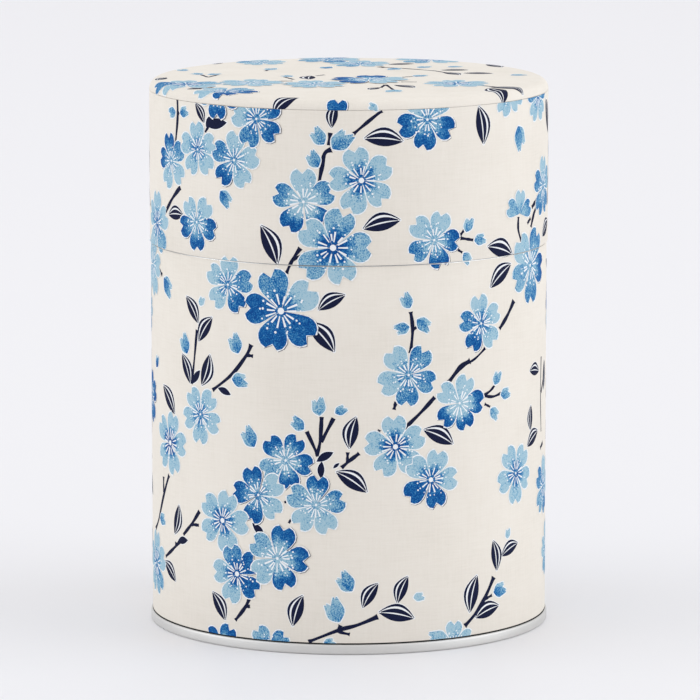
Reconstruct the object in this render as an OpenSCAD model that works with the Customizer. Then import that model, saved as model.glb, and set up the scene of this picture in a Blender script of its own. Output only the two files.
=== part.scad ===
// Paper-covered storage tin with a slip-over outer lid and a drop-in inner lid.
// Millimetres. Origin at the centre of the base, +Z up, front towards -Y, seams at the back (+Y).

/* [Body] */
// Outside diameter of the bare body wall
shell_d = 77.4; // [60:0.1:100]
// Height of the body wall's top edge, where the outer lid meets it
body_h = 75.4; // [60:0.1:130]
// Thickness of the tinplate
tin_t = 0.3; // [0.22:0.01:0.4]
// Width of the lapped side seam
lap_w = 4; // [2.5:0.5:6]

/* [Paper] */
// Thickness of the paper with its paste
paper_t = 0.28; // [0.15:0.01:0.4]
// Width over which the paper's two ends overlap at the back
paper_lap_w = 6; // [3:0.5:10]
// Height of the top paper's turned-down edge below the rounded edge
paper_turn_h = 0.1; // [0.1:0.05:3]

/* [Base] */
// Height of the crimped rim round the base
rim_h = 2; // [1.6:0.1:3.5]
// How far the rim stands out past the paper
rim_proud = 0.2; // [0.05:0.05:0.6]
// Bare gap between the rim and the paper's lower edge
rim_gap = 0.25; // [0.1:0.05:0.6]
// How far the base panel is set up from the table
base_recess = 2.7; // [2:0.1:4]

/* [Neck] */
// Height of the neck above the body wall's top edge
neck_rise = 22.6; // [18:0.1:26]
// Depth of the neck sleeve inside the body
neck_depth = 25; // [15:1:40]
// Height of the inward hem round the mouth
neck_hem_h = 5; // [3:0.5:8]

/* [Outer lid] */
// Height of the outer lid without its paper
lid_h = 31.7; // [30:0.1:45]
// Outside radius of the lid's top edge
top_edge_r = 1.7; // [1:0.1:3]
// Height of the top plate's skirt below its rounded edge
skirt_h = 1.9; // [1.5:0.1:3]
// Radial clearance between the neck and the lid wall
lid_clearance = 0.15; // [0.1:0.01:0.3]

/* [Inner lid] */
// Depth of the inner lid's pan
pan_depth = 8; // [6:0.5:12]
// Radial clearance between the pan and the mouth
pan_clearance = 0.1; // [0.05:0.01:0.25]
// Height of the knob
knob_h = 11; // [9:0.5:12]
// Diameter of the knob's head
knob_d = 14; // [10:0.5:20]
// Diameter of the knob's rivet
rivet_d = 3; // [2:0.5:4]

/* [Hidden] */
$fn = 96;

tin_colour = "gainsboro";
rim_colour = "silver";
paper_colour = "linen";
knob_colour = "whitesmoke";

seat_gap = 0.02; // between pieces that are pasted or pressed together
neck_gap = 0.05; // between the neck sleeve and the body wall
lid_gap = 0.05; // between the outer lid's foot and the body's edge
paper_set_back = 0.1; // from a metal edge to the edge of its paper
bend_r = 0.8; // outside radius of a pressed bend
tight_bend_r = 0.5; // outside radius of a bend that is pressed hard
rim_bend_r = tin_t + 0.1; // outside radius of the rim's bends
bend_steps = 6;

// Body
shell_r = shell_d / 2;
shell_in_r = shell_r - tin_t;
paper_in_r = shell_r + seat_gap;
paper_r = paper_in_r + paper_t;
wrap_z = rim_h + rim_gap;
wrap_top_z = body_h - paper_set_back;

// Base: its wall goes up inside the body wall, and the rim wraps the body wall's flange
rim_r = paper_r + rim_proud;
rim_in_r = rim_r - tin_t;
rim_lip_r = shell_r + seat_gap;
base_wall_r = shell_in_r - seat_gap;
panel_z = base_recess + tin_t;
panel_step = 1;
panel_step_r = shell_r * 0.8;
flange_z = rim_bend_r;
flange_r = rim_in_r - seat_gap;
lap_z = panel_z + tin_t;

// Neck
neck_r = shell_in_r - neck_gap;
neck_in_r = neck_r - tin_t;
neck_foot_z = body_h - neck_depth;
mouth_z = body_h + neck_rise;
mouth_r = neck_in_r - tin_t;
neck_slit_w = lap_w + 2;

// Outer lid
lid_z = body_h + lid_gap;
lid_in_r = neck_r + lid_clearance;
lid_r = lid_in_r + tin_t;
lid_top_z = body_h + lid_h;
skirt_z = lid_top_z - top_edge_r - skirt_h;
step_h = 0.6; // height over which the wall steps in to pass inside the skirt
step_z = skirt_z - 2 * step_h;
tuck_r = lid_in_r - seat_gap;
tuck_top_z = lid_top_z - top_edge_r - seat_gap;
lid_paper_in_r = lid_r + seat_gap;
lid_paper_r = lid_paper_in_r + paper_t;
top_z = lid_top_z + seat_gap + paper_t;
paper_join_z = lid_top_z - top_edge_r - paper_turn_h;
paper_join_gap = 0.06;

// Inner lid
pan_r = mouth_r - pan_clearance;
pan_in_r = pan_r - tin_t;
pan_top_z = mouth_z + seat_gap + tin_t;
pan_flange_r = neck_r - 0.2;
pan_floor_z = pan_top_z - pan_depth;
boss_rise = 1;
boss_r = knob_d * 0.9;
boss_slope_w = 1.2;
knob_z = pan_floor_z + boss_rise;
washer_t = 0.5;
rivet_r = rivet_d / 2;
rivet_hole_r = rivet_r + 0.1;
rivet_bore_r = rivet_r + seat_gap;
rivet_head_r = rivet_r * 2;
rivet_head_h = rivet_r * 0.8;
rivet_head_z = knob_z - tin_t - washer_t;
rivet_reach = knob_h * 0.55; // how far the rivet goes into the knob
washer_r = rivet_r * 3;

// Points on an arc of radius r round c, from angle a0 to a1
function arc(c, r, a0, a1, n = bend_steps) =
    [for (i = [0:n]) let (a = a0 + (a1 - a0) * i / n) c + r * [cos(a), sin(a)]];

function unit(v) = v / norm(v);
function left_of(v) = [-v[1], v[0]];

// The path p moved t to its left, mitred at its corners
function moved_left(p, t) = [
    for (i = [0:len(p) - 1])
        let (
            last = len(p) - 1,
            after = unit(p[min(i + 1, last)] - p[min(i, last - 1)]),
            before = i > 0 ? unit(p[i] - p[i - 1]) : after,
            n = unit(left_of(before) + left_of(after))
        )
        p[i] + n * t / (n * left_of(before))
];

// A round pressed sheet: one face follows the path, and the thickness t lies to the path's left
module turned_sheet(path, t) {
    other_face = moved_left(path, t);
    rotate_extrude()
        polygon(concat(path, [for (i = [len(path) - 1:-1:0]) other_face[i]]));
}

module ring(r0, r1, z0, z1) {
    rotate_extrude() translate([r0, z0]) square([r1 - r0, z1 - z0]);
}

// A strip of a tube, w wide round the circumference and centred on the back
module back_strip(r0, r1, z0, z1, w) {
    angle = w / r1 * 180 / PI;
    rotate([0, 0, 90 - angle / 2])
        rotate_extrude(angle = angle)
            translate([r0, z0]) square([r1 - r0, z1 - z0]);
}

// Rolled body wall with a flange at its foot and a lapped seam inside
module body_shell() {
    color(tin_colour) {
        rotate_extrude() polygon([
            [shell_in_r, flange_z], [flange_r, flange_z], [flange_r, flange_z + tin_t],
            [shell_r, flange_z + tin_t], [shell_r, body_h], [shell_in_r, body_h]
        ]);
        back_strip(shell_in_r - tin_t, shell_in_r + tin_t / 2, lap_z, body_h, lap_w);
    }
}

// Pressed base: stepped panel, wall, and the rim crimped over the body wall's flange
module bottom_end() {
    in_r = rim_bend_r - tin_t; // inside radius of the rim's bends
    color(rim_colour) turned_sheet(concat(
        [
            [0, panel_z + panel_step],
            [panel_step_r - panel_step, panel_z + panel_step],
            [panel_step_r, panel_z]
        ],
        arc([base_wall_r - bend_r, panel_z - bend_r], bend_r, 90, 0),
        arc([base_wall_r + in_r, tin_t + in_r], in_r, 180, 270),
        arc([rim_in_r - in_r, tin_t + in_r], in_r, -90, 0),
        arc([rim_in_r - in_r, rim_h - tin_t - in_r], in_r, 0, 90),
        [[rim_lip_r, rim_h - tin_t]]
    ), -tin_t);
}

// Inner sleeve that the outer lid slides over: hemmed mouth, and a slit that passes the body's lap
module neck_sleeve() {
    color(tin_colour) difference() {
        rotate_extrude() polygon(concat(
            [[neck_in_r, neck_foot_z], [neck_r, neck_foot_z]],
            arc([neck_in_r, mouth_z - tin_t], tin_t, 0, 180),
            [[mouth_r, mouth_z - neck_hem_h], [neck_in_r, mouth_z - neck_hem_h]]
        ));
        translate([-neck_slit_w / 2, 0, neck_foot_z - 1])
            cube([neck_slit_w, shell_d, neck_depth + 1]);
    }
}

module body_wrap() {
    color(paper_colour) {
        ring(paper_in_r, paper_r, wrap_z, wrap_top_z);
        back_strip(paper_r - paper_t / 2, paper_r + paper_t, wrap_z, wrap_top_z, paper_lap_w);
    }
}

// Pressed pan that plugs the mouth and hangs from its flange, with a raised boss under the knob
module inner_lid_pan() {
    flange_bend_x = pan_r + tight_bend_r - tin_t;
    color(tin_colour) difference() {
        turned_sheet(concat(
            [[pan_flange_r, pan_top_z]],
            arc([flange_bend_x, pan_top_z - tight_bend_r], tight_bend_r, 90, 180),
            arc([pan_r - bend_r, pan_floor_z - tin_t + bend_r], bend_r - tin_t, 0, -90),
            [[boss_r + boss_slope_w, pan_floor_z], [boss_r, knob_z], [0, knob_z]]
        ), tin_t);
        translate([0, 0, pan_floor_z - 1]) cylinder(r = rivet_hole_r, h = boss_rise + 2);
    }
}

// Turned knob: wide foot, narrow waist, domed head, and a blind bore for the rivet
module inner_lid_knob() {
    foot_r = knob_d * 0.42;
    foot_h = knob_h * 0.14;
    waist_r = knob_d * 0.24;
    waist_bend_r = waist_r * 0.6;
    head_h = knob_h * 0.4;
    head_z = knob_z + knob_h - head_h;
    head_edge_r = head_h * 0.4;
    dome_r = knob_d * 1.2;
    color(knob_colour) difference() {
        rotate_extrude() polygon(concat(
            [[0, knob_z], [foot_r, knob_z], [foot_r, knob_z + foot_h / 2]],
            [[foot_r * 0.9, knob_z + foot_h]],
            arc([waist_r + waist_bend_r, knob_z + foot_h + waist_bend_r], waist_bend_r, 270, 180),
            [[waist_r, head_z - head_h * 0.2]],
            arc([knob_d / 2 - head_edge_r, head_z + head_edge_r], head_edge_r, -90, 20),
            arc([0, knob_z + knob_h - dome_r], dome_r, 78, 90)
        ));
        translate([0, 0, knob_z - 1]) cylinder(r = rivet_bore_r, h = rivet_reach + 1);
    }
}

module knob_rivet() {
    color(rim_colour) {
        translate([0, 0, rivet_head_z])
            cylinder(r = rivet_r, h = washer_t + tin_t + rivet_reach - seat_gap);
        rotate_extrude() polygon(concat(
            [[0, rivet_head_z], [0, rivet_head_z - rivet_head_h]],
            arc([rivet_head_r - rivet_head_h, rivet_head_z], rivet_head_h, -90, 0)
        ));
    }
}

module rivet_washer() {
    color(rim_colour) translate([0, 0, rivet_head_z]) difference() {
        cylinder(r = washer_r, h = washer_t);
        translate([0, 0, -1]) cylinder(r = rivet_hole_r, h = washer_t + 2);
    }
}

// Rolled lid wall, stepped in at the top so that the top plate's skirt sits flush outside it
module lid_wall() {
    color(tin_colour) turned_sheet([
        [lid_r, lid_z],
        [lid_r, step_z],
        [tuck_r, step_z + step_h],
        [tuck_r, tuck_top_z]
    ], tin_t);
}

module lid_top_plate() {
    color(tin_colour) turned_sheet(concat(
        [[lid_r, skirt_z]],
        arc([lid_r - top_edge_r, lid_top_z - top_edge_r], top_edge_r, 0, 90, 10),
        [[0, lid_top_z]]
    ), tin_t);
}

module lid_side_wrap() {
    z0 = lid_z + paper_set_back;
    z1 = paper_join_z - paper_join_gap;
    color(paper_colour) {
        ring(lid_paper_in_r, lid_paper_r, z0, z1);
        back_strip(lid_paper_r - paper_t / 2, lid_paper_r + paper_t, z0, z1, paper_lap_w);
    }
}

// Paper disc pasted on the top and turned down over the rounded edge
module lid_top_paper() {
    edge_r = lid_paper_r - lid_r + top_edge_r;
    color(paper_colour) turned_sheet(concat(
        [[lid_paper_r, paper_join_z]],
        arc([lid_r - top_edge_r, lid_top_z - top_edge_r], edge_r, 0, 90, 10),
        [[0, top_z]]
    ), paper_t);
}

body_shell();
bottom_end();
neck_sleeve();
body_wrap();
inner_lid_pan();
inner_lid_knob();
knob_rivet();
rivet_washer();
lid_wall();
lid_top_plate();
lid_side_wrap();
lid_top_paper();
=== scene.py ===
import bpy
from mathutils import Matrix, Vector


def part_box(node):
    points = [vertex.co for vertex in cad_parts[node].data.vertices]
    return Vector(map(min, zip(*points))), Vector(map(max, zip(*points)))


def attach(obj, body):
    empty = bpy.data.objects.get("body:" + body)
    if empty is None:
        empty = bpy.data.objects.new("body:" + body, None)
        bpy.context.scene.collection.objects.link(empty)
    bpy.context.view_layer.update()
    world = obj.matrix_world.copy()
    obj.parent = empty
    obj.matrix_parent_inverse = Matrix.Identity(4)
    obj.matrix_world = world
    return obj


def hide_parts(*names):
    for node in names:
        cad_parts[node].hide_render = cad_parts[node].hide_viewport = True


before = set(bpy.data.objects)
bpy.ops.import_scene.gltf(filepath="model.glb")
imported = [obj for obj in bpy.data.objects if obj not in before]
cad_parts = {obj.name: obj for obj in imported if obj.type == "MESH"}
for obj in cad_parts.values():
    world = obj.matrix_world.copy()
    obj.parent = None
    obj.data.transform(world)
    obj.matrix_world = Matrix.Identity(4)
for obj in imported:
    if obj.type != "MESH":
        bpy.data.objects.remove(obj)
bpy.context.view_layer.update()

import math
import random

import bmesh
import bpy
from mathutils import Matrix, Vector

MM = 0.001
rng = random.Random(11)


# ---------------------------------------------------------------- sizes, in millimetres

def reach(node):
    """How far a round node comes to the right of the axis."""
    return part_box(node)[1].x / MM


def foot(node):
    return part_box(node)[0].z / MM


def head(node):
    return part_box(node)[1].z / MM


TIN = 0.3  # thickness of the tinplate
PAPER = 0.28  # thickness of the paper
SEAT = 0.02  # between pieces that are pasted or pressed together
LAP = 6.0  # width over which a wrap's ends overlap
LAP_RISE = 0.16  # how far the outer end stands out over the inner one
INK_ROOM = 0.125  # room for the ink: the body paper is thinner by it, and the top paper sits lower by it
EDGE_TURN = 0.1  # straight part of the top paper below its rounded edge
NECK_GAP = 0.05  # between the neck sleeve and the body wall
HEM = 5.0  # height of the fold round the mouth
SEAM_W = 4.0  # width of the body's lapped seam
SLIT_W = 6.0  # width of the slit that lets the neck pass the seam
PAN_CLEARANCE = 0.1  # between the inner lid's wall and the mouth
SHARP = 35  # degrees over which an edge is drawn sharp

RIM_R, RIM_H = reach("bottom_end"), 2.0
NECK_R, NECK_FOOT, MOUTH = reach("neck_sleeve"), foot("neck_sleeve"), head("neck_sleeve")
SHELL_R = NECK_R + NECK_GAP + TIN
SHELL_TOP = head("body_shell")
LID_R = reach("lid_wall")
LID_FOOT = foot("lid_wall")
PLATE_TOP = head("lid_top_plate")
TOP = head("lid_top_paper") - INK_ROOM
TOP_R = reach("lid_top_paper")
TOP_JOIN = foot("lid_top_paper")
TOP_BEND = TOP - TOP_JOIN - EDGE_TURN
PAN_FLANGE_R, PAN_TOP, PAN_FOOT = reach("inner_lid_pan"), head("inner_lid_pan"), foot("inner_lid_pan")
KNOB_R, KNOB_FOOT, KNOB_TOP = reach("inner_lid_knob"), foot("inner_lid_knob"), head("inner_lid_knob")
RIVET_HEAD_R, RIVET_FOOT, RIVET_TOP = reach("knob_rivet"), foot("knob_rivet"), head("knob_rivet")
WASHER_R, WASHER_FOOT, WASHER_TOP = reach("rivet_washer"), foot("rivet_washer"), head("rivet_washer")


# ---------------------------------------------------------------- finishes

def srgb(red, green, blue):
    """A colour given from 0 to 255 as a display shows it, made linear."""
    return tuple(c / 255 / 12.92 if c <= 10 else ((c / 255 + 0.055) / 1.055) ** 2.4
                 for c in (red, green, blue))


class Value:
    """A socket in a finish. Arithmetic on it adds Math nodes."""

    def __init__(self, finish, socket):
        self.finish, self.socket = finish, socket

    def maths(self, operation, first, second=0.0):
        return self.finish.node("ShaderNodeMath", {0: first, 1: second}, operation=operation)

    def __add__(self, other):
        return self.maths("ADD", self, other)

    def __sub__(self, other):
        return self.maths("SUBTRACT", self, other)

    def __rsub__(self, other):
        return self.maths("SUBTRACT", other, self)

    def __mul__(self, other):
        return self.maths("MULTIPLY", self, other)

    __radd__, __rmul__ = __add__, __mul__


class Finish:
    """A material with a Principled shader, and what feeds it."""

    def __init__(self, name, **fixed):
        self.material = bpy.data.materials.new(name)
        self.material.use_nodes = True
        self.tree = self.material.node_tree
        self.shader = self.tree.nodes["Principled BSDF"]
        for socket, value in fixed.items():
            self.set(socket.replace("_", " "), value)

    def set(self, socket, value):
        self.feed(self.shader.inputs[socket], value)

    def feed(self, socket, value):
        if isinstance(value, Value):
            self.tree.links.new(value.socket, socket)
        elif isinstance(value, tuple) and len(value) == 3 and socket.type == "RGBA":
            socket.default_value = (*value, 1)
        else:
            socket.default_value = value

    def node(self, kind, inputs=None, stops=None, out=0, **settings):
        made = self.tree.nodes.new(kind)
        for name, value in settings.items():
            setattr(made, name, value)
        if stops:
            while len(made.color_ramp.elements) < len(stops):
                made.color_ramp.elements.new(1)
            for element, (at, colour) in zip(made.color_ramp.elements, stops):
                element.position, element.color = at, (*colour, 1)
        for key, value in (inputs or {}).items():
            self.feed(made.inputs[key], value)
        return Value(self, made.outputs[out])

    def place(self, scale=(1, 1, 1)):
        """Where a point of the piece is, in millimetres, stretched by scale."""
        at = self.node("ShaderNodeTexCoord", out=3)
        return self.node("ShaderNodeMapping", {"Vector": at, "Scale": tuple(s / MM for s in scale)})

    def noise(self, scale, detail=2.0, stretch=(1, 1, 1)):
        """Soft noise with about scale humps to the millimetre."""
        return self.node("ShaderNodeTexNoise",
                         {"Vector": self.place(stretch), "Scale": scale, "Detail": detail, "Roughness": 0.6})

    def mix(self, amount, first, second):
        return self.node("ShaderNodeMix", {0: amount, 6: first, 7: second}, out=2, data_type="RGBA")

    def bump(self, height, depth_mm, strength=1.0):
        self.set("Normal", self.node("ShaderNodeBump",
                                     {"Height": height, "Distance": depth_mm * MM, "Strength": strength}))


def paper_finish():
    """Cream handmade paper: long faint fibres, a soft cloudiness and a dry surface."""
    f = Finish("cream_paper", Specular_IOR_Level=0.25)
    cloud = f.noise(0.06, 3)
    fibre = f.noise(1.0, 4, (0.25, 0.25, 3.2))
    speck = f.noise(3.5, 2)
    laid = f.noise(1.0, 3, (2.6, 2.6, 0.2))
    shade = cloud * 0.35 + fibre * 0.3 + laid * 0.25 + speck * 0.1
    f.set("Base Color", f.node("ShaderNodeValToRGB", {"Fac": shade}, stops=[
        (0.3, srgb(219, 213, 202)), (0.5, srgb(227, 221, 211)), (0.72, srgb(232, 227, 218))]))
    f.set("Roughness", 0.82 + fibre * 0.12)
    f.bump(fibre * 0.7 + speck * 0.5, 0.035, 0.5)
    return f


def white_ink_finish():
    f = Finish("white_ink", Roughness=0.75, Specular_IOR_Level=0.2)
    f.set("Base Color", srgb(234, 236, 238))
    return f


def navy_ink_finish():
    f = Finish("navy_ink", Roughness=0.75, Specular_IOR_Level=0.12)
    grain = f.noise(5.0, 2)
    f.set("Base Color", f.node("ShaderNodeValToRGB", {"Fac": grain}, stops=[
        (0.3, srgb(12, 18, 46)), (0.62, srgb(18, 26, 58)), (0.85, srgb(46, 56, 94))]))
    return f


def blue_ink_finish():
    """Blue that goes from pale to deep by the drawn tone, broken up into fine spray dots."""
    f = Finish("blue_ink", Roughness=0.75, Specular_IOR_Level=0.12)
    tone = f.node("ShaderNodeAttribute", attribute_name="tone", attribute_type="GEOMETRY", out=2)
    spray = f.noise(4.2, 2)
    blotch = f.noise(0.8, 2)
    ink = tone + (spray - 0.5) * 2.0 + (blotch - 0.5) * 0.5
    f.set("Base Color", f.node("ShaderNodeValToRGB", {"Fac": ink}, stops=[
        (0.0, srgb(162, 192, 206)), (0.22, srgb(146, 184, 202)), (0.42, srgb(99, 152, 185)),
        (0.62, srgb(44, 116, 170)), (0.85, srgb(6, 88, 154)), (1.0, srgb(3, 68, 134))]))
    return f


def tinplate_finish(name, colour, roughness):
    """Bright tinplate, with the fine lines that rolling leaves and a few dull clouds."""
    f = Finish(name, Metallic=1.0)
    line = f.noise(1.0, 3, (0.06, 0.06, 7.0))
    cloud = f.noise(0.12, 3)
    f.set("Base Color", f.mix(cloud, tuple(c * 0.9 for c in colour), colour))
    f.set("Roughness", roughness + (line - 0.5) * 0.22 + (cloud - 0.5) * 0.16)
    f.bump(line, 0.012, 0.35)
    return f


def knob_finish():
    f = Finish("white_moulding", Roughness=0.3)
    f.set("Base Color", f.mix(f.noise(0.3, 2), srgb(228, 226, 219), srgb(236, 235, 229)))
    f.bump(f.noise(2.5, 2), 0.01, 0.3)
    return f


# Painted shadow: near-black with little shine, standing for the shade in the gap between the base's rim and
# the paper.
def painted_shadow_ring_finish():
    f = Finish("painted_shadow_ring", Roughness=0.9, Specular_IOR_Level=0.1)
    f.set("Base Color", f.mix(f.noise(0.8, 3), (0.012, 0.012, 0.012), (0.04, 0.04, 0.038)))
    return f


def floor_finish():
    """A pale sweep whose colour is a little lighter towards the back: painted light."""
    f = Finish("floor", Roughness=0.5, Specular_IOR_Level=0.25)
    back = f.node("ShaderNodeSeparateXYZ", {0: f.place((MM, MM, MM))}, out=1)
    f.set("Base Color", f.mix(back * 0.75 + 0.1, (0.815, 0.81, 0.825), (0.85, 0.845, 0.865)))
    return f


PAPER_FINISH = paper_finish()
INKS = {"white": white_ink_finish(), "blue": blue_ink_finish(), "navy": navy_ink_finish()}
TINPLATE = tinplate_finish("tinplate", (0.78, 0.78, 0.77), 0.3)
BASE_TINPLATE = tinplate_finish("base_tinplate", (0.7, 0.695, 0.68), 0.56)
RIVET_METAL = tinplate_finish("rivet_metal", (0.8, 0.8, 0.8), 0.25)
KNOB_WHITE = knob_finish()
PAINTED_SHADOW_RING = painted_shadow_ring_finish()
FLOOR = floor_finish()


# ---------------------------------------------------------------- making pieces

def make_piece(name, bm, finish, body, replaces=()):
    """Turns a mesh in millimetres into a piece that rides on a body."""
    bmesh.ops.scale(bm, vec=(MM, MM, MM), verts=bm.verts)
    mesh = bpy.data.meshes.new(name)
    bm.to_mesh(mesh)
    bm.free()
    mesh.shade_smooth()
    mesh.set_sharp_from_angle(angle=math.radians(SHARP))
    mesh.materials.append(finish.material)
    piece = bpy.data.objects.new(name, mesh)
    bpy.context.scene.collection.objects.link(piece)
    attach(piece, body)
    if replaces:
        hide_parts(*replaces)
    return piece


def arc(centre, radius, start, end, steps=8):
    """Points on an arc, by angles in degrees."""
    turn = [math.radians(start + (end - start) * i / steps) for i in range(steps + 1)]
    return [(centre[0] + radius * math.cos(a), centre[1] + radius * math.sin(a)) for a in turn]


def spun(path, closed=False, steps=240):
    """A profile of (radius, height) points turned about the tin's axis."""
    bm = bmesh.new()
    ring = [bm.verts.new((r, 0, z)) for r, z in path]
    pairs = list(zip(ring, ring[1:])) + ([(ring[-1], ring[0])] if closed else [])
    edges = [bm.edges.new(pair) for pair in pairs]
    bmesh.ops.spin(bm, geom=ring + edges, cent=(0, 0, 0), axis=(0, 0, 1), angle=2 * math.pi,
                   steps=steps, use_merge=True)
    bmesh.ops.remove_doubles(bm, verts=bm.verts, dist=1e-4)
    return bm


def spun_solid(outline, closed=True):
    bm = spun(outline, closed)
    bmesh.ops.recalc_face_normals(bm, faces=bm.faces)
    return bm


def spun_sheet(path, thickness=TIN, bevel=0.07):
    """Sheet metal turned about the axis. The path is one face, and the metal lies to the path's left."""
    bm = spun(path)
    (r0, z0), (r1, z1) = path[-2:] if path[0][0] < 1e-6 else path[:2]
    right = Vector((z1 - z0, 0, r0 - r1)).normalized()
    middle = Vector(((r0 + r1) / 2, 0, (z0 + z1) / 2))
    near = min(bm.faces, key=lambda f: (f.calc_center_median() - middle).length)
    near.normal_update()
    bmesh.ops.recalc_face_normals(bm, faces=bm.faces)
    near.normal_update()
    if near.normal.dot(right) < 0:
        bmesh.ops.reverse_faces(bm, faces=bm.faces)
    bmesh.ops.solidify(bm, geom=bm.faces[:], thickness=thickness)
    soften(bm, bevel)
    return bm


def soften(bm, width, angle=60):
    """Rounds every edge that turns by more than an angle."""
    sharp = [e for e in bm.edges if e.is_manifold and e.calc_face_angle() > math.radians(angle)]
    bmesh.ops.bevel(bm, geom=sharp, offset=width, segments=2, profile=0.5, affect="EDGES", material=-1,
                    clamp_overlap=True)


# ---------------------------------------------------------------- tinplate and the knob

def make_base():
    """Pressed base: stepped panel with a stiffening bead, wall, and the crimped rim."""
    wall_r = SHELL_R - TIN - SEAT
    panel = head("bottom_end") - 1.0
    step_r = SHELL_R * 0.8
    bend, tight = 0.8, 0.12
    inner_r = RIM_R - TIN
    path = [(0, panel + 1), (step_r - 9, panel + 1)]
    path += [(step_r - 8.2, panel + 0.75), (step_r - 7.4, panel + 1), (step_r - 1.3, panel + 1)]
    path += arc((step_r - 1, panel + 0.7), 0.3, 90, 45, 3) + [(step_r, panel)]
    path += arc((wall_r - bend, panel - bend), bend, 90, 0)
    path += arc((wall_r + tight, TIN + tight), tight, 180, 270, 4)
    path += arc((inner_r - tight, TIN + tight), tight, -90, 0, 4)
    path += arc((inner_r - tight, RIM_H - TIN - tight), tight, 0, 90, 4)
    path += [(SHELL_R + SEAT, RIM_H - TIN)]
    bm = spun_sheet(path[::-1], bevel=0.05)
    make_piece("base_and_rim", bm, BASE_TINPLATE, "root", ["bottom_end"])
    # A near-black ring in the gap between the rim and the paper's lower edge: painted shadow, standing for
    # the shade in that gap.
    gap = foot("body_wrap")
    bead = spun_solid([(SHELL_R + 0.01, RIM_H - TIN), (SHELL_R + 0.22, RIM_H - 0.08),
                       (SHELL_R + 0.2, gap - 0.08), (SHELL_R + 0.01, gap)])
    make_piece("rim_painted_shadow", bead, PAINTED_SHADOW_RING, "root")


def make_shell():
    """Rolled body wall, with the lapped and pressed side seam inside."""
    flange_r = RIM_R - TIN - SEAT
    low = foot("body_shell")
    bm = spun_sheet([(flange_r, low), (SHELL_R, low + TIN), (SHELL_R, SHELL_TOP)])
    make_piece("body_wall", bm, TINPLATE, "root", ["body_shell"])
    seam = lap_strip(SHELL_R - TIN, -TIN, SEAM_W, 3.5, SHELL_TOP - 0.05)
    make_piece("body_seam", seam, TINPLATE, "root")


def lap_strip(radius, thickness, width, low, high):
    """A strip of sheet round the back, standing in (-) or out (+) from a radius."""
    bm = bmesh.new()
    bmesh.ops.create_cube(bm, size=1)
    bmesh.ops.scale(bm, vec=(width, abs(thickness), high - low), verts=bm.verts)
    for i in range(1, 8):
        cut = Vector((width * (i / 8 - 0.5), 0, 0))
        bmesh.ops.bisect_plane(bm, geom=bm.verts[:] + bm.edges[:] + bm.faces[:],
                               plane_co=cut, plane_no=(1, 0, 0))
    soften(bm, 0.08)
    for v in bm.verts:
        angle = v.co.x / radius
        r = radius + thickness / 2 + v.co.y
        v.co = Vector((-r * math.sin(angle), r * math.cos(angle), v.co.z + (low + high) / 2))
    bmesh.ops.recalc_face_normals(bm, faces=bm.faces)
    return bm


def make_neck():
    """Sleeve with a mouth that is folded inwards, slit at the back where it passes the body's seam."""
    inner = NECK_R - TIN
    outline = [(inner, NECK_FOOT), (NECK_R, NECK_FOOT)]
    outline += arc((inner, MOUTH - TIN), TIN, 0, 180, 10)
    outline += [(inner - TIN, MOUTH - HEM + 0.1), (inner - TIN + 0.06, MOUTH - HEM), (inner, MOUTH - HEM)]
    bm = spun_solid(outline)
    piece = make_piece("neck_ring", bm, TINPLATE, "root", ["neck_sleeve"])
    cutter = bmesh.new()
    bmesh.ops.create_cube(cutter, size=1)
    bmesh.ops.scale(cutter, vec=(SLIT_W, 20, SHELL_TOP - NECK_FOOT + 1), verts=cutter.verts)
    bmesh.ops.translate(cutter, vec=(0, NECK_R, (SHELL_TOP + NECK_FOOT - 1) / 2), verts=cutter.verts)
    bmesh.ops.scale(cutter, vec=(MM, MM, MM), verts=cutter.verts)
    mesh = bpy.data.meshes.new("slit")
    cutter.to_mesh(mesh)
    cutter.free()
    slit = bpy.data.objects.new("slit", mesh)
    bpy.context.scene.collection.objects.link(slit)
    cut = piece.modifiers.new("slit", "BOOLEAN")
    cut.object, cut.operation, cut.solver = slit, "DIFFERENCE", "EXACT"
    bpy.context.view_layer.update()
    shaped = bpy.data.meshes.new_from_object(piece.evaluated_get(bpy.context.evaluated_depsgraph_get()))
    piece.modifiers.clear()
    piece.data = shaped
    bpy.data.objects.remove(slit)
    shaped.shade_smooth()
    shaped.set_sharp_from_angle(angle=math.radians(SHARP))


def make_lid_metal():
    wall_in = LID_R - TIN
    skirt = foot("lid_top_plate")
    tuck = wall_in - SEAT
    wall = [(LID_R, LID_FOOT), (LID_R, skirt - 1.2), (tuck, skirt - 0.6), (tuck, head("lid_wall"))]
    make_piece("lid_wall_ring", spun_sheet(wall), TINPLATE, "outer_lid", ["lid_wall"])
    bend = TOP_BEND - PAPER - SEAT
    edge = arc((LID_R - bend, PLATE_TOP - bend), bend, 0, 90, 10)
    plate = [(LID_R, skirt)] + edge + [(0, PLATE_TOP)]
    make_piece("lid_plate", spun_sheet(plate), TINPLATE, "outer_lid", ["lid_top_plate"])


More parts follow.
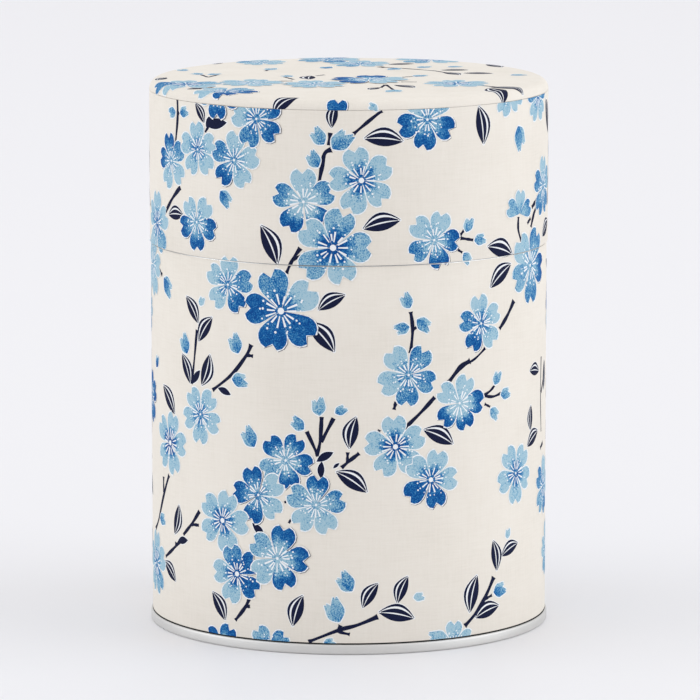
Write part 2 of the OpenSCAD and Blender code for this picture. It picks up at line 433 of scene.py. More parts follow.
def make_inner_lid():
    """Pressed plug with a flange, a stiffening bead and a boss that carries the knob."""
    wall_r = NECK_R - 2 * TIN - PAN_CLEARANCE
    inner = wall_r - TIN
    floor = PAN_FOOT + TIN
    tight, bend = 0.5, 0.8
    hinge = wall_r + tight - TIN
    boss = KNOB_R * 1.8
    path = [(PAN_FLANGE_R, PAN_TOP)]
    path += arc((hinge, PAN_TOP - tight), tight, 90, 180, 6)
    path += arc((wall_r - bend, floor - TIN + bend), bend - TIN, 0, -90, 6)
    bead = inner - 6
    path += [(bead + 1.6, floor)]
    path += arc((bead, floor - 1.0), 1.3, 60, 120, 6)
    path += [(bead - 1.6, floor)]
    path += [(boss + 1.2, floor), (boss, KNOB_FOOT), (RIVET_HEAD_R * 0.55, KNOB_FOOT)]
    make_piece("inner_lid_plug", spun_sheet(path, bevel=0.06), TINPLATE, "inner_lid",
               ["inner_lid_pan"])

    height = KNOB_TOP - KNOB_FOOT
    waist, foot_r = KNOB_R * 0.48, KNOB_R * 0.84
    brim = height * 0.16
    under = KNOB_TOP - height * 0.4
    outline = [(0, KNOB_FOOT), (foot_r - 0.2, KNOB_FOOT), (foot_r, KNOB_FOOT + 0.2)]
    outline += arc((foot_r - 0.5, KNOB_FOOT + height * 0.1), 0.5, 0, 90, 4)
    outline += arc((waist + 1.6, KNOB_FOOT + height * 0.14 + 1.7), 1.6, 265, 180, 8)
    outline += arc((waist + 0.9, under - 0.9), 0.9, 180, 95, 6)
    outline += arc((KNOB_R - brim, under + brim), brim, -88, 25, 10)
    outline += arc((0, KNOB_TOP - KNOB_R * 2.4), KNOB_R * 2.4, 68, 90, 12)[1:]
    outline = [(min(r, KNOB_R), z) for r, z in outline]
    make_piece("knob", spun_solid(outline, closed=False), KNOB_WHITE, "inner_lid",
               ["inner_lid_knob"])

    shank = RIVET_HEAD_R / 2
    cap = WASHER_FOOT - RIVET_FOOT
    outline = [(0, RIVET_FOOT)] + arc((RIVET_HEAD_R - cap, WASHER_FOOT), cap, -90, 0, 6)
    outline += [(shank, WASHER_FOOT), (shank, RIVET_TOP - 0.2), (shank - 0.2, RIVET_TOP), (0, RIVET_TOP)]
    make_piece("rivet", spun_solid(outline, closed=False), RIVET_METAL, "inner_lid",
               ["knob_rivet"])
    washer = spun_solid([(shank + 0.1, WASHER_FOOT), (WASHER_R, WASHER_FOOT),
                         (WASHER_R, WASHER_TOP), (shank + 0.1, WASHER_TOP)])
    soften(washer, 0.08)
    make_piece("washer", washer, RIVET_METAL, "inner_lid", ["rivet_washer"])


# ---------------------------------------------------------------- paper

def smooth_step(low, high, value):
    t = min(max((value - low) / (high - low), 0.0), 1.0)
    return t * t * (3 - 2 * t)


class Wrap:
    """A sheet rolled round the tin. On the flat sheet x runs round from the front, y is the height and z
    stands off the sheet. Its outer end laps over its inner end at the back."""

    def __init__(self, node, sink=0.0):
        self.radius = reach(node) - sink
        self.low, self.high = foot(node), head(node)
        self.thickness = PAPER - sink
        self.round = 2 * math.pi * self.radius
        self.lap_from = (self.round - LAP) / 2
        self.lap_to = (self.round + LAP) / 2

    def bend(self, flat):
        rise = LAP_RISE * smooth_step(self.lap_from - 1.4, self.lap_from - 0.2, flat.x)
        pared = 1 - smooth_step(-self.lap_from, 0.7 - self.lap_from, flat.x)
        thinner = self.thickness - LAP_RISE + 0.01
        r = self.radius + rise + flat.z - pared * thinner * (1 + flat.z / self.thickness)
        angle = flat.x / self.radius
        return Vector((r * math.sin(angle), -r * math.cos(angle), flat.y))

    def trim(self, bm):
        """Cuts away what is drawn off the sheet or under its lap."""
        for at, out in (((-self.lap_from, 0, 0), (-1, 0, 0)), ((self.lap_to, 0, 0), (1, 0, 0)),
                        ((0, self.low, 0), (0, -1, 0)), ((0, self.high, 0), (0, 1, 0))):
            cut_off(bm, at, out)


class Cap:
    """The disc on the lid's top. On the flat disc x is right and y is back. Past the flat top it turns
    down over the edge."""

    def __init__(self):
        self.flat_r = TOP_R - TOP_BEND
        self.low, self.high = -TOP_R - 4, TOP_R + 4
        self.sheet_r = self.flat_r + TOP_BEND * math.pi / 2 + EDGE_TURN

    def bend(self, flat):
        r = math.hypot(flat.x, flat.y)
        if r <= self.flat_r:
            return Vector((flat.x, flat.y, TOP + flat.z))
        turn = min((r - self.flat_r) / TOP_BEND, math.pi / 2)
        drop = max(r - self.flat_r - TOP_BEND * math.pi / 2, 0)
        out = self.flat_r + (TOP_BEND + flat.z) * math.sin(turn)
        height = TOP - TOP_BEND + (TOP_BEND + flat.z) * math.cos(turn) - drop
        return Vector((flat.x / r * out, flat.y / r * out, height))

    def trim(self, bm):
        sides = 90
        for i in range(sides):
            a = 2 * math.pi * i / sides
            out = Vector((math.cos(a), math.sin(a), 0))
            cut_off(bm, out * self.sheet_r, out, [v for v in bm.verts if v.co.dot(out) > self.sheet_r])
        for _ in range(3):
            edge = [f for f in bm.faces if max(v.co.xy.length for v in f.verts) > self.flat_r]
            bmesh.ops.triangulate(bm, faces=edge)
            long = [e for e in bm.edges
                    if e.calc_length() > 0.3 and max(v.co.xy.length for v in e.verts) > self.flat_r]
            bmesh.ops.subdivide_edges(bm, edges=long, cuts=1, use_grid_fill=True)


def cut_off(bm, at, out, beyond=None):
    """Cuts away what lies past a plane. When the points beyond it are given, only their faces are touched."""
    if beyond is None:
        parts = bm.verts[:] + bm.edges[:] + bm.faces[:]
    else:
        faces = {f for v in beyond for f in v.link_faces}
        edges = {e for f in faces for e in f.edges}
        parts = list(faces) + list(edges) + list({v for f in faces for v in f.verts})
    if parts:
        bmesh.ops.bisect_plane(bm, geom=parts, plane_co=at, plane_no=out, clear_outer=True)


def make_wrap(name, wrap, body, replaces):
    """The paper sheet itself, with its edges a little softened."""
    bm = bmesh.new()
    bmesh.ops.create_grid(bm, x_segments=300, y_segments=4, size=1)
    middle, half = (wrap.low + wrap.high) / 2, (wrap.high - wrap.low) / 2
    for v in bm.verts:
        v.co = Vector((v.co.x * wrap.lap_to, middle + v.co.y * half, 0))
    bmesh.ops.solidify(bm, geom=bm.faces[:], thickness=wrap.thickness)
    soften(bm, 0.05)
    for v in bm.verts:
        v.co = wrap.bend(v.co)
    make_piece(name, bm, PAPER_FINISH, body, [replaces])


def make_cap(cap):
    edge = arc((cap.flat_r, TOP - TOP_BEND), TOP_BEND, 0, 90, 14)
    path = [(TOP_R, TOP_JOIN)] + edge + [(0, TOP)]
    bm = spun_sheet(path, PAPER, 0.05)
    make_piece("lid_top_disc", bm, PAPER_FINISH, "outer_lid", ["lid_top_paper"])


# ---------------------------------------------------------------- the printed pattern

FILM = 0.006  # thickness of a film of ink
LAYER = 0.009  # from one film to the next
FIRST_FILM = 0.008  # height of the lowest film's upper face over the paper
HALO = 0.24  # width of the white edge round a petal
TONES = {"l": 0.06, "a": 0.33, "m": 0.56, "d": 0.86}


class Print:
    """Ink on one sheet, drawn flat in millimetres, with one mesh for each colour."""

    def __init__(self, sheet):
        self.sheet = sheet
        self.inks = {name: bmesh.new() for name in INKS}
        self.tone = {name: bm.verts.layers.float.new("tone") for name, bm in self.inks.items()}

    def patch(self, ink, across, along, layer, shape, tone=None):
        """A grid of cells. shape(u, v) places its points: u from -1 to 1 across, v from 0 to 1 along."""
        bm = self.inks[ink]
        made = bmesh.ops.create_grid(bm, x_segments=across, y_segments=along, size=1)["verts"]
        for point in made:
            u, v = point.co.x, (point.co.y + 1) / 2
            x, y = shape(u, v)
            point.co = Vector((x, y, layer * LAYER + FIRST_FILM))
            point[self.tone[ink]] = tone(u, v) if tone else 0.0

    def dot(self, ink, x, y, radius, layer, sides=7):
        at = Matrix.Translation((x, y, layer * LAYER + FIRST_FILM))
        bmesh.ops.create_circle(self.inks[ink], cap_ends=True, segments=sides, radius=radius, matrix=at)

    def finish(self, name, body):
        for ink, bm in self.inks.items():
            self.sheet.trim(bm)
            for face in bm.faces:
                face.normal_update()
                if face.normal.z < 0:
                    face.normal_flip()
            bmesh.ops.dissolve_degenerate(bm, dist=1e-4, edges=bm.edges)
            bmesh.ops.solidify(bm, geom=bm.faces[:], thickness=FILM)
            for v in bm.verts:
                v.co = self.sheet.bend(v.co)
            make_piece(f"{name}_{ink}_ink", bm, INKS[ink], body)


def petal_shape(r, direction, notch, lean, grow=0.0, half_angle=33.0):
    """A cherry petal that points away from (0, 0), with straight sides, round shoulders and a notched tip."""
    ax, ay = math.cos(direction), math.sin(direction)

    def shape(u, v):
        t = math.sin(math.pi / 2 * u) + lean * (1 - u * u)
        crown = max(1 - abs(t) ** 2.15, 0) ** (1 / 2.15)
        reach = r * (0.53 + 0.51 * crown - notch * math.exp(-(u / 0.11) ** 2))
        a = math.radians(half_angle) * t
        out = grow * (0.55 + 0.45 * (1 - t * t))
        along, across = reach * math.cos(a) + out, reach * math.sin(a) + grow * t
        along, across = along * v, across * v
        return ax * along + ay * across, ay * along - ax * across

    return shape


def draw_blossom(on, x, y, r, turn, tones, eye, rank):
    """Five notched petals with a white edge, and stamens round the eye."""
    layer = 3 + rank * 2.4
    petals = [i for i, letter in enumerate(tones) if letter != "-"]
    for i in petals:
        direction = math.radians(turn + 72 * i + rng.uniform(-3, 3))
        notch, lean = rng.uniform(0.17, 0.24), rng.uniform(-0.12, 0.12)
        size, spread = r * rng.uniform(0.97, 1.05), rng.uniform(32.3, 34.3)
        deep = TONES[tones[i]]
        start, full = (0.38, 0.84) if deep > eye else (0.24, 0.66)

        def moved(grow, dx=0.0, dy=0.0):
            shape = petal_shape(size, direction, notch, lean, grow, spread)
            return lambda u, v: tuple(map(sum, zip((x + dx, y + dy), shape(u, 0.04 + 0.96 * v))))

        def tone(u, v):
            return eye + (deep - eye) * smooth_step(start, full, v) + 0.06 * math.sin(3 * u + i)

        if deep > 0.8 and rng.random() < 0.75:
            on.patch("navy", 10, 4, layer - 0.7, moved(HALO, 0.1, -0.07))
        on.patch("white", 10, 5, layer, moved(HALO))
        on.patch("blue", 12, 6, layer + 1, moved(0.0), tone)
    if len(petals) < 5:
        return
    count = rng.randint(14, 16)
    for i in range(count):
        a = math.radians(360 * i / count + rng.uniform(-6, 6))
        near, far = r * rng.uniform(0.13, 0.19), r * rng.uniform(0.36, 0.46)
        wide = r * rng.uniform(0.017, 0.024)

        def stamen(u, v):
            along, across = near + (far - near) * v, u * wide * (0.75 + 0.5 * v)
            return (x + math.cos(a) * along + math.sin(a) * across,
                    y + math.sin(a) * along - math.cos(a) * across)

        on.patch("white", 1, 3, layer + 1.8, stamen)
        for gap in (0.09, 0.17)[:1 + i % 2]:
            out, b = far + r * (gap + rng.uniform(-0.02, 0.03)), a + rng.uniform(-0.12, 0.12)
            on.dot("white", x + math.cos(b) * out, y + math.sin(b) * out,
                   r * rng.uniform(0.02, 0.034), layer + 1.8)
    on.dot("white", x, y, r * (0.085 if eye > 0.75 else 0.045), layer + 1.8, 10)


def draw_bud(on, x, y, length, turn, deep):
    """Two folded petals, one partly over the other."""
    a = math.radians(turn)
    bx, by = x - math.cos(a) * length * 0.55, y - math.sin(a) * length * 0.55
    for lean, size, lift, dark in ((0.3, 0.92, 0.0, 0.35), (-0.2, 1.06, 0.5, 1.0)):
        ax, ay = math.cos(a + lean), math.sin(a + lean)
        for ink, layer, grow in (("white", 2.0, 0.18), ("blue", 2.6, 0.0)):

            def fold(u, v):
                tip = 1 - 0.12 * math.exp(-(u / 0.2) ** 2) - 0.3 * abs(u) ** 3
                along = v * (length * size * tip + 2 * grow) - grow
                across = u * (length * size * 0.28 * math.sin(math.pi * (0.03 + 0.77 * v)) + grow)
                return bx + ax * along + ay * across, by + ay * along - ax * across

            on.patch(ink, 8, 6, layer + lift, fold,
                     lambda u, v: deep * dark * (1.15 - 0.7 * v) + 0.3 * (1 - v) * (1 - dark))


def lens(x, y, length, turn, arch=0.0):
    """Places points of a leaf: along goes from tip to tip and across is in half widths."""
    a = math.radians(turn)
    ax, ay = math.cos(a), math.sin(a)

    def at(across, along, extra=0.0):
        v = min(max(along, 0.0), 1.0)
        half = 0.19 * length * (math.sin(math.pi * v) ** 0.9 if 0 < v < 1 else 0.0)
        side = across * half + extra - arch * length * (4 * v * (1 - v) - 0.5)
        forward = (along - 0.5) * length
        return x + ax * forward + ay * side, y + ay * forward - ax * side

    return at


def draw_leaf(on, x, y, length, turn, side=1, arch=0.05, solid=False):
    """A dark leaf in two halves with a pale rib between, and a fine line that runs outside one edge."""
    at = lens(x, y, length, turn, arch * side)
    if solid:
        on.patch("white", 3, 8, 0, lambda u, v: at(u * 1.05, v * 1.06 - 0.03, u * 0.16))
        on.patch("navy", 4, 8, 1.2, lambda u, v: at(u * 1.05, v))
        return
    line = 0.3 * (length / 6.5) ** 0.5
    on.patch("white", 4, 8, 0,
             lambda u, v: at(u * 1.12 - 0.22 * side, v * 1.05 - 0.025, u * 0.2 - 0.12 * side))
    on.patch("navy", 3, 8, 1.2, lambda u, v: at(side * (0.57 + 0.49 * u * side), 0.02 + 0.96 * v))
    on.patch("navy", 3, 8, 1.2, lambda u, v: at(side * (-0.44 + 0.32 * u * side), 0.06 + 0.88 * v))
    on.patch("navy", 1, 10, 1.2, lambda u, v: at(
        -side * 1.18, v, -side * line * 0.4 + u * line * (0.25 + 0.6 * math.sin(math.pi * v))))


def curve_through(points, steps=5):
    """A smooth line through points, as a list of (x, y)."""
    ends = [points[0]] + list(points) + [points[-1]]
    line = []
    for p0, p1, p2, p3 in zip(ends, ends[1:], ends[2:], ends[3:]):
        for i in range(steps):
            t = i / steps
            line.append(tuple(
                0.5 * (2 * b + (c - a) * t + (2 * a - 5 * b + 4 * c - d) * t * t
                       + (3 * b - a - 3 * c + d) * t ** 3)
                for a, b, c, d in zip(p0, p1, p2, p3)))
    return line + [tuple(points[-1])]


def draw_twig(on, points, width=0.75, taper=0.8):
    """A dark stroke, a little thicker at its cut ends."""
    line = curve_through(points)
    last = len(line) - 1
    wobble = rng.uniform(0, 6)

    def shape(u, v):
        i = min(round(v * last), last)
        x0, y0 = line[max(i - 1, 0)]
        x1, y1 = line[min(i + 1, last)]
        run = math.hypot(x1 - x0, y1 - y0) or 1.0
        cut_end = 0.3 if i in (0, last) else 0.0
        half = width / 2 * (1 + (taper - 1) * v + 0.17 * math.sin(wobble + 11 * v) + cut_end)
        x, y = line[i]
        return x + (y1 - y0) / run * half * u, y - (x1 - x0) / run * half * u

    on.patch("navy", 2, last, 1.4, shape)


# Millimetres and degrees, as listed. A place is the way round from the front, then the height; on the
# top it is right, then back.
# Each blossom: place, radius, direction of its first petal, the tones of its petals anticlockwise with -
# for one that is missing, and how deep its eye is. Each leaf: place, length, direction, side of its outer
# line. Each bud: place, length, direction, depth. Each twig: the points that it passes, and its width.

SIDE_BLOSSOMS = [
    (-41.8, 93.2, 5.3, 105, "ddllm", 0.4), (-32.6, 96.3, 5.2, 95, "lllll", 0.6),
    (-23.2, 95.0, 5.6, 85, "lmdll", 0.5), (-18.2, 103.2, 5.5, 105, "llmdd", 0.6),
    (-27.2, 108.0, 5.2, 125, "lmddd", 0.5), (-33.0, 82.2, 5.3, 126, "ldddl", 0.35),
    (-49.4, 80.2, 6.2, 90, "lllal", 0.65), (-53.8, 71.5, 6.0, 78, "lllll", 0.3),
    (-8.7, 87.7, 6.1, 93, "lmddm", 0.1), (2.4, 91.9, 6.3, 105, "lllll", 0.85),
    (-3.0, 79.0, 7.3, 75, "alala", 1.0), (15.3, 103.2, 5.8, 121, "lddda", 0.45),
    (16.8, 80.0, 5.6, 140, "lmddl", 0.3), (35.5, 107.8, 5.4, 100, "lllll", 0.3),
    (47.5, 105.2, 5.2, 90, "lmllm", 0.6), (43.9, 72.5, 7.4, 133, "lamdm", 0.35),
    (51.2, 87.3, 5.8, 90, "lmmma", 0.4), (39.2, 83.2, 4.6, 85, "la--m", 0.35),
    (-24.8, 70.8, 5.6, 83, "llldm", 0.55), (-13.2, 66.5, 7.8, 105, "mdddl", 0.8),
    (-32.2, 44.8, 5.6, 126, "lllll", 0.6), (-43.0, 37.7, 6.3, 75, "lllll", 1.0),
    (-12.3, 37.6, 5.5, 63, "ddadd", 0.3), (-18.0, 30.5, 5.7, 107, "dddll", 0.5),
    (-26.3, 24.7, 5.9, 70, "lllll", 0.85), (-6.3, 29.2, 5.7, 84, "dallm", 0.3),
    (-22.8, 14.6, 5.8, 108, "mlldd", 0.95), (-14.0, 18.4, 6.3, 75, "daldd", 0.25),
    (27.7, 63.0, 5.5, 98, "lmdll", 0.6), (11.6, 54.2, 5.9, 125, "llmmm", 0.5),
    (9.0, 40.4, 6.0, 95, "lllll", 0.95), (22.5, 48.0, 5.6, 145, "ldddl", 0.02),
    (16.2, 33.6, 5.7, 68, "llddl", 0.85), (38.3, 32.4, 5.8, 123, "lllll", 0.75),
    (-26.5, -0.6, 5.2, 68, "ddddd", 0.4), (-15.8, 0.2, 5.0, 117, "alldm", 0.5),
    (21.2, 0.8, 4.8, 85, "lllll", 0.3), (-56.6, 45.0, 5.2, 20, "ddmmd", 0.6),
    (-51.7, 12.4, 6.3, 90, "lllal", 0.6), (53.5, 27.5, 5.8, 150, "mamll", 0.5),
    (57.8, 14.4, 5.4, 95, "llalm", 0.4), (61.6, 62.0, 4.8, 80, "ldlma", 0.7),
]

SIDE_LEAVES = [
    (-32.0, 103.4, 4.4, -55, 1), (-40.2, 82.9, 5.8, 5, 1), (-15.5, 79.2, 8.2, -65, 1),
    (-2.9, 104.2, 4.6, 80, 1), (6.7, 99.7, 7.6, -5, 1), (6.3, 83.5, 7.4, 12, 1),
    (27.6, 101.4, 7.6, -80, 1), (33.0, 76.8, 7.8, -17, 1), (33.2, 71.8, 7.4, 33, 1),
    (54.0, 78.6, 6.6, 20, 1), (-34.6, 65.0, 6.2, -52, 1), (-30.8, 61.6, 6.4, 53, 1),
    (-36.6, 53.2, 6.2, -63, 1), (-30.6, 53.6, 6.8, 70, -1), (-43.7, 46.2, 7.4, -42, 1),
    (-3.3, 68.5, 6.0, 30, 1), (-5.2, 61.8, 7.6, -48, 1), (0.7, 43.3, 6.4, 78, 1),
    (0.6, 33.8, 7.2, -34, 1), (17.9, 41.9, 7.2, -27, 1), (-40.3, 22.9, 6.4, 74, -1),
    (-43.4, 12.2, 6.0, -32, 1), (-27.3, 7.8, 6.2, -58, 1), (-10.0, 8.4, 6.5, 72, 1),
    (4.1, 11.6, 5.6, 58, 1), (10.4, 12.5, 5.6, 68, 1), (9.3, 7.6, 7.2, -12, 1), (25.9, 10.3, 7.4, 76, 1),
    (29.7, 6.4, 6.6, 14, 1), (31.8, 17.1, 6.2, 100, -1), (36.4, 17.7, 5.8, 18, 1),
    (46.7, 51.4, 5.4, -8, 1), (44.6, 42.4, 5.0, 88, 1), (45.8, 38.2, 6.2, 22, 1),
    (55.5, 100.5, 8.0, -62, 1), (54.0, 49.5, 6.0, 80, -1), (61.5, 38.0, 6.5, 40, 1),
    (-60.5, 90.5, 6.5, 55, 1), (-59.0, 27.0, 6.0, -40, 1),
]

SOLID_LEAVES = [
    (-27.5, 101.6, 5.2, 12), (-29.6, 102.0, 2.8, 60), (-33.4, 52.0, 3.6, 52), (-25.8, 50.0, 3.4, -18),
    (-4.6, 38.6, 3.8, 30), (-5.3, 36.0, 3.4, 88), (-18.0, 23.6, 3.8, -45), (-38.2, 19.1, 3.8, 12),
    (-2.4, 36.9, 1.6, 40), (58.6, 71.0, 4.0, -30),
]

SIDE_BUDS = [
    (-41.5, 102.6, 2.8, 190, 0.6), (-36.8, 103.2, 2.8, 15, 0.6), (-25.2, 87.3, 3.6, -48, 0.7),
    (-5.9, 100.4, 3.6, 125, 0.5), (-1.2, 99.7, 4.6, 42, 0.6), (-6.8, 96.0, 3.4, 120, 0.6),
    (24.5, 82.6, 2.9, 68, 0.5), (27.5, 79.4, 2.9, 5, 0.5), (24.2, 75.9, 2.6, -55, 0.5),
    (39.3, 97.7, 4.8, -72, 0.6), (11.1, 68.7, 3.1, 115, 0.5), (10.1, 63.2, 3.0, 190, 0.6),
    (14.8, 63.7, 3.4, -35, 0.6), (32.2, 52.1, 2.9, 62, 0.5), (34.9, 48.6, 3.0, 5, 0.5),
    (31.5, 45.0, 2.9, -42, 0.4), (-43.8, 68.2, 4.6, -36, 0.7), (-31.7, 67.0, 2.0, 60, 0.1),
    (-37.2, 58.2, 4.0, 115, 0.6), (-23.2, 59.7, 3.9, 112, 0.6), (-21.9, 52.5, 3.6, -3, 0.6),
    (-5.8, 48.5, 3.5, 95, 0.4), (-1.4, 47.7, 2.4, 28, 0.6), (-10.0, 44.9, 3.1, 140, 0.6),
    (-20.1, 41.8, 4.2, 122, 0.6), (-47.1, 21.9, 3.2, 3, 0.6), (-2.8, 8.9, 4.8, 112, 0.5),
    (-0.7, 14.4, 4.2, 125, 0.6), (13.9, 10.9, 2.2, 3, 0.1), (33.4, 10.2, 3.7, 8, 0.7),
    (35.7, 21.0, 2.0, 80, 0.1), (-50.5, 52.8, 2.8, 62, 1.0), (-3.6, 2.4, 2.2, 10, 0.5),
    (5.0, 106.0, 2.0, 150, 0.2), (60.2, 93.5, 3.6, 110, 0.5), (17.0, 2.9, 2.6, 175, 0.3),
]

SIDE_TWIGS = [
    ([(-39.4, 107), (-39.2, 102), (-40.1, 96.6)], 0.8), ([(-39.2, 102.4), (-38.6, 102.9)], 0.7),
    ([(-38.3, 88.4), (-41.3, 86), (-44.4, 83)], 0.9),
    ([(-28.4, 103.2), (-29.2, 101.6), (-30.5, 99.8)], 0.6), ([(-3.5, 101), (-3.8, 98.6)], 0.75),
    ([(-3.3, 97.8), (-4.6, 97), (-5.2, 94), (-5.7, 91.2)], 0.9),
    ([(6.3, 105.2), (3.4, 102.9), (0.9, 100.8)], 0.7),
    ([(-9.3, 78.8), (-10.9, 76.4), (-12.1, 73.8)], 0.75), ([(-10.9, 76.4), (-8.3, 77.9)], 0.6),
    ([(22.4, 80.4), (23.6, 81.7)], 0.6), ([(22.6, 80.0), (25.6, 79.4)], 0.6),
    ([(22.0, 77.8), (23.0, 77.2)], 0.5), ([(38.8, 82.6), (38.8, 80), (40.4, 76.9)], 0.7),
    ([(48.0, 84.4), (45.6, 82.6), (44.0, 80.0)], 0.95), ([(47.6, 85.4), (44.4, 83.8)], 0.9),
    ([(43.8, 81.8), (42.4, 80.9)], 0.7), ([(12.0, 66.4), (12.4, 63), (12.0, 58.4)], 0.75),
    ([(12.4, 62.8), (13.2, 63.4)], 0.6), ([(37.4, 66.4), (35.3, 63.8), (32.8, 61.4)], 0.95),
    ([(28.8, 58.1), (26.2, 56.3), (23.4, 55.2)], 0.5), ([(25.0, 56.0), (22.6, 54.9), (19.8, 52.0)], 1.05),
    ([(17.0, 49.6), (14.2, 46.9), (10.8, 43.9)], 0.8), ([(9.1, 49.1), (8.7, 47.6)], 0.7),
    ([(5.9, 43.8), (5.5, 42.9)], 0.6), ([(28.5, 48.9), (30.2, 49.6), (31.4, 50.5)], 0.6),
    ([(28.6, 48.8), (31.0, 48.4), (33.3, 48.8)], 0.6), ([(28.7, 47.2), (30.2, 46.5)], 0.5),
    ([(-19.5, 59.6), (-20.6, 57.4), (-24.0, 53.4), (-28.8, 49.9)], 0.8),
    ([(-20.4, 57.5), (-19.1, 57.4)], 0.7), ([(-33.2, 61.2), (-33.9, 56), (-34.8, 50.4)], 0.65),
    ([(-5.2, 46.3), (-5.5, 41.6), (-6.1, 38.9)], 0.75), ([(-2.9, 46.1), (-5.3, 41.4)], 0.75),
    ([(-8.1, 43.4), (-6.4, 39.8), (-6.0, 38.6)], 0.7), ([(2.0, 39.3), (0.2, 37.9), (-1.4, 36.5)], 0.75),
    ([(-0.2, 39.5), (-0.3, 37.6)], 0.6), ([(-32.6, 25.7), (-35.0, 22.9), (-37.9, 20.3)], 0.75),
    ([(-35.0, 22.8), (-32.8, 22.9)], 0.7), ([(-39.0, 18.9), (-42.0, 16.8), (-45.6, 14.7)], 0.75),
    ([(-40.8, 18.4), (-41.0, 17.4)], 0.6),
    ([(-43.7, 31.2), (-46.4, 27.0), (-49.9, 21.4), (-52.8, 18.9)], 0.85),
    ([(-46.6, 30.4), (-46.6, 27.3)], 0.75), ([(-19.9, 10.4), (-21.0, 8.2), (-23.3, 5.4)], 0.8),
    ([(-20.9, 8.4), (-19.9, 8.5)], 0.8), ([(5.6, 7.4), (1.6, 5.8), (-2.0, 4.8), (-7.8, 2.4)], 0.8),
    ([(-1.6, 5.8), (-1.9, 4.6), (0.2, 4.0)], 0.7),
    ([(31.4, 12.9), (29.3, 9.6), (26.8, 6.6), (23.9, 4.2)], 0.95), ([(28.9, 8.8), (30.9, 9.4)], 0.6),
    ([(-11.0, 26.6), (-11.7, 25.4)], 0.5), ([(-12.1, 29.6), (-12.6, 29.4)], 0.5),
    ([(-48.6, 71.0), (-46.8, 70.2)], 0.8), ([(51.2, 53.5), (50.8, 46), (51.4, 38.6)], 0.5),
    ([(51.3, 46.4), (53.0, 48.5)], 0.7), ([(53.0, 36.2), (50.8, 35.4)], 0.8),
    ([(60.0, 91.8), (58.0, 86), (56.9, 83)], 0.8), ([(-60.5, 86.5), (-57.0, 82.6)], 0.7),
    ([(62.3, 32.5), (59.6, 31.0)], 0.8), ([(61.8, 53.8), (61.2, 48.2)], 0.8),
]

TOP_BLOSSOMS = [
    (-31.5, -12.0, 6.8, 95, "lmlla", 0.7), (-19.0, -9.5, 6.2, 80, "lllll", 0.3),
    (-23.5, -24.0, 6.2, 120, "lldda", 0.6), (-6.5, -12.0, 6.2, 100, "lllll", 0.4),
    (4.0, -4.0, 7.4, 88, "dddll", 0.35), (21.0, -10.5, 6.2, 95, "lllll", 0.6),
    (2.2, 26.0, 6.0, 90, "llall", 0.5), (-4.0, 34.0, 6.2, 70, "mlaml", 0.5),
    (-17.5, 28.5, 5.0, 100, "lalll", 0.4), (16.5, 33.5, 7.0, 90, "mlall", 0.6),
    (-2.4, -43.1, 5.2, 90, "d----", 0.9),
]

TOP_LEAVES = [
    (10.5, 25.2, 5.4, 15, 1), (21.0, 14.0, 5.6, 5, 1), (25.5, 8.0, 6.0, -6, 1), (20.3, 7.5, 5.6, -55, 1),
    (-7.7, 0.2, 6.6, 88, 1), (5.0, -19.5, 4.4, 65, 1), (10.8, -15.5, 6.0, -50, 1),
    (30.6, -18.4, 7.6, -26, 1), (28.8, -22.8, 8.8, -66, -1), (-26.2, 27.5, 5.2, 75, 1),
    (-12.3, -37.0, 6.4, 25, 1), (-29.0, -19.5, 5.0, 30, 1), (-36.5, -2.0, 4.5, 70, 1),
    (29.0, 22.0, 6.0, -60, 1),
]

TOP_BUDS = [
    (9.0, 15.8, 3.6, 260, 0.5), (15.0, 19.8, 3.4, 60, 0.4), (21.2, 20.4, 3.0, 30, 0.4),
    (14.0, 3.6, 3.4, 60, 0.5), (-12.2, 3.0, 3.0, 120, 0.4), (8.6, -24.0, 4.2, 260, 0.3),
    (-26.5, 6.5, 3.0, 60, 0.4), (-30.0, 7.0, 3.0, 130, 0.4), (-15.5, 16.0, 3.4, 80, 0.3),
    (-4.5, 18.8, 3.4, 85, 0.7), (33.5, 5.0, 3.2, 20, 0.4), (4.6, -39.4, 2.0, 150, 0.2),
    (-33.0, 14.0, 3.0, 100, 0.4),
]

TOP_TWIGS = [
    ([(6.3, 19.6), (11, 17), (17, 12.6)], 0.7), ([(6.0, 20.2), (7.2, 18.8)], 1.4),
    ([(19.0, 9.5), (17, 12.6)], 0.6), ([(-10.8, -3.2), (-12.6, 1.2)], 0.6),
    ([(-14.5, -6.2), (-11.0, -6.0)], 0.7), ([(-4.8, 5.2), (-6.4, 3.4)], 0.6),
    ([(10.6, 1.0), (13.0, 2.6)], 0.6), ([(10.2, -7.6), (13.2, -7.8)], 0.6),
    ([(7.2, -12.6), (8.6, -21.8)], 0.6), ([(7.0, -12.8), (6.2, -18)], 0.6),
    ([(-29.0, 5.0), (-27.6, 0.8)], 0.6), ([(-25.8, 5.2), (-27.6, 0.8)], 0.6),
    ([(-26.2, -17.6), (-30.6, -20.4)], 0.8), ([(25.6, -14.0), (28.4, -16.6)], 0.7),
    ([(-16.5, 12.4), (-16.0, 14.4)], 0.6),
]


def ranks(blossoms):
    """How many blossoms lie under each one, so that where two overlap the later one is on top."""
    found = []
    for i, (x, y, r, *_) in enumerate(blossoms):
        under = [found[j] for j, (a, b, q, *_) in enumerate(blossoms[:i])
                 if math.hypot(x - a, y - b) < r + q + 0.4]
        found.append(max(under) + 1 if under else 0)
    return found


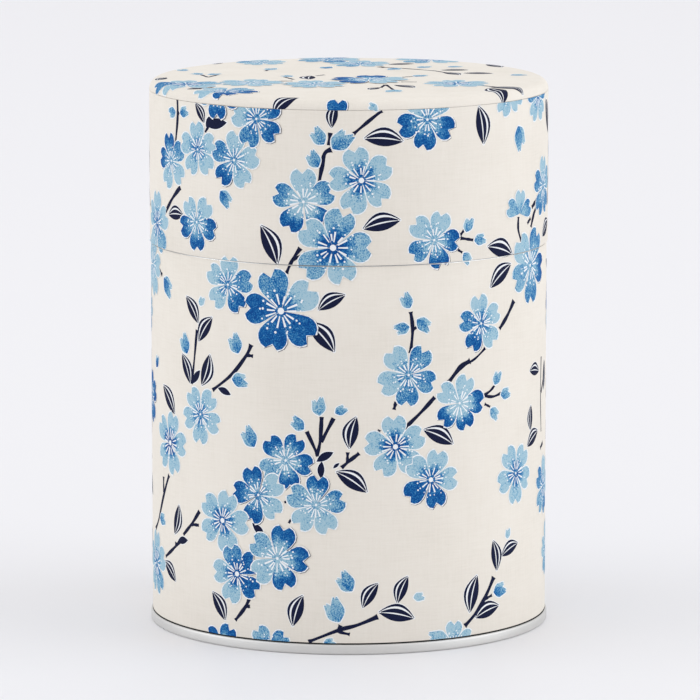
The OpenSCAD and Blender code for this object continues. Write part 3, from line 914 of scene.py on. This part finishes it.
def draw_side(on, name, body):
    """The printed repeat comes twice round the tin, with a little over at each edge of the sheet."""
    wrap = on.sheet
    repeat = wrap.round / 2
    margin = 9

    def copies(items, size):
        for x, y, *rest in items:
            if wrap.low - size < y < wrap.high + size:
                for k in range(-2, 3):
                    at = x + k * repeat
                    if -wrap.lap_from - margin < at < wrap.lap_to + margin:
                        yield (at, y, *rest)

    for x, y, *leaf in copies(SIDE_LEAVES, 6):
        draw_leaf(on, x, y, *leaf)
    for x, y, length, turn in copies(SOLID_LEAVES, 4):
        draw_leaf(on, x, y, length, turn, arch=0.03, solid=True)
    for points, width in SIDE_TWIGS:
        middle = points[len(points) // 2]
        for x, y in copies([middle], 9):
            draw_twig(on, [(px + x - middle[0], py) for px, py in points], width)
    for x, y, *bud in copies(SIDE_BUDS, 4):
        draw_bud(on, x, y, *bud)
    ranked = [(*b, rank) for b, rank in zip(SIDE_BLOSSOMS, ranks(SIDE_BLOSSOMS))]
    for x, y, *blossom in copies(ranked, 8):
        draw_blossom(on, x, y, *blossom)
    on.finish(name, body)


def draw_top(on):
    for x, y, *leaf in TOP_LEAVES:
        draw_leaf(on, x, y, *leaf)
    for points, width in TOP_TWIGS:
        draw_twig(on, points, width)
    for x, y, *bud in TOP_BUDS:
        draw_bud(on, x, y, *bud)
    for (x, y, *blossom), rank in zip(TOP_BLOSSOMS, ranks(TOP_BLOSSOMS)):
        draw_blossom(on, x, y, *blossom, rank)
    on.finish("lid_top", "outer_lid")


# ---------------------------------------------------------------- the tin

make_base()
make_shell()
make_neck()
make_lid_metal()
make_inner_lid()

body_sheet, lid_sheet, top_sheet = Wrap("body_wrap", INK_ROOM), Wrap("lid_side_wrap"), Cap()
make_wrap("body_paper", body_sheet, "root", "body_wrap")
make_wrap("lid_side_paper", lid_sheet, "outer_lid", "lid_side_wrap")
make_cap(top_sheet)
draw_side(Print(body_sheet), "body", "root")
draw_side(Print(lid_sheet), "lid_side", "outer_lid")
draw_top(Print(top_sheet))


# ---------------------------------------------------------------- camera, light and floor

def add_light(name, at, size, power, colour):
    data = bpy.data.lights.new(name, "AREA")
    data.shape, data.size, data.size_y = "RECTANGLE", *size
    data.energy, data.color = power, colour
    lamp = bpy.data.objects.new(name, data)
    bpy.context.scene.collection.objects.link(lamp)
    lamp.location = at
    lamp.rotation_euler = (Vector((0, 0, 0.055)) - Vector(at)).to_track_quat("-Z", "Y").to_euler()


def make_stage():
    bm = bmesh.new()
    bmesh.ops.create_grid(bm, x_segments=4, y_segments=4, size=6)
    mesh = bpy.data.meshes.new("floor")
    bm.to_mesh(mesh)
    bm.free()
    mesh.materials.append(FLOOR.material)
    floor = bpy.data.objects.new("floor", mesh)
    bpy.context.scene.collection.objects.link(floor)

    world = bpy.data.worlds.new("studio")
    bpy.context.scene.world = world
    world.use_nodes = True
    sky = world.node_tree.nodes["Background"]
    sky.inputs["Color"].default_value = (0.99, 0.985, 1.0, 1)
    sky.inputs["Strength"].default_value = 0.86

    add_light("left_window", (-2.2, -0.3, 0.9), (2.2, 1.6), 17.0, (0.94, 0.97, 1))
    add_light("right_window", (2.2, -0.4, 0.9), (2.2, 1.6), 21.0, (0.94, 0.97, 1))
    add_light("overhead", (0, 0, 3), (3, 3), 9.0, (0.94, 0.97, 1))


def make_camera():
    data = bpy.data.cameras.new("camera")
    data.lens, data.sensor_width = 305.1, 36  # a long lens, from a little over a metre away
    camera = bpy.data.objects.new("camera", data)
    bpy.context.scene.collection.objects.link(camera)
    camera.location = (0.00023, -1.157, 0.2324)
    camera.rotation_euler = (math.radians(90 - 8.8), 0, 0)
    data.clip_end = 50
    bpy.context.scene.camera = camera


make_stage()
make_camera()
bpy.context.scene.view_settings.view_transform = "Standard"
